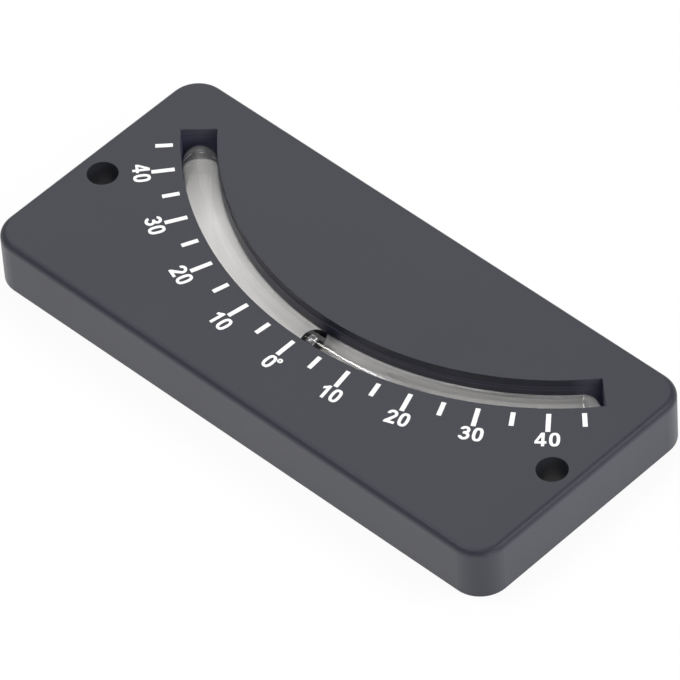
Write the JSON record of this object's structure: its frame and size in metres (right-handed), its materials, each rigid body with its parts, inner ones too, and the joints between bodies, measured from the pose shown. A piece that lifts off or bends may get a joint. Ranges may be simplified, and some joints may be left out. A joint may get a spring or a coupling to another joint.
{
  "type": "curved-tube ball inclinometer",
  "caption": "Slim dark plastic inclinometer: a ball rolls along a curved, liquid-filled glass vial and shows the tilt on a printed degree scale.",
  "frame": {"origin": "centre of the back, which is the centre of the base when the instrument lies face up", "axes": "+X along the length, towards the right-hand end of the scale; +Y up the face, towards the centre of the scale's arc, which points up when the instrument is in use; +Z out of the face"},
  "size_m": [0.11, 0.0492, 0.0103],
  "materials": {
    "housing_plastic": "satin, very fine moulded texture",
    "cradle_plastic": "satin",
    "white_strip": "matt white film",
    "vial_glass": "clear, fire-polished",
    "ball_steel": "polished bearing ball",
    "clear_adhesive": "clear, wet-looking",
    "screw_steel": "zinc-plated",
    "white_ink": "opaque printed ink"
  },
  "bodies": {
    "case": {"front_housing": "housing_plastic", "back_plate": "housing_plastic", "vial_cradle": "cradle_plastic", "backing_strip": "white_strip", "glass_vial": "vial_glass", "adhesive_beads": "clear_adhesive", "cover_screws": "screw_steel", "long_ticks": "white_ink", "short_ticks": "white_ink"},
    "rolling_ball": {"ball": "ball_steel"}
  },
  "joints": [
    {"name": "ball_travel", "type": "hinge", "parent": "case", "child": "rolling_ball", "pos_m": [0, 0.0554, 0.00575], "axis": [0, 0, 1], "range_deg": [-45, 45]}
  ]
}
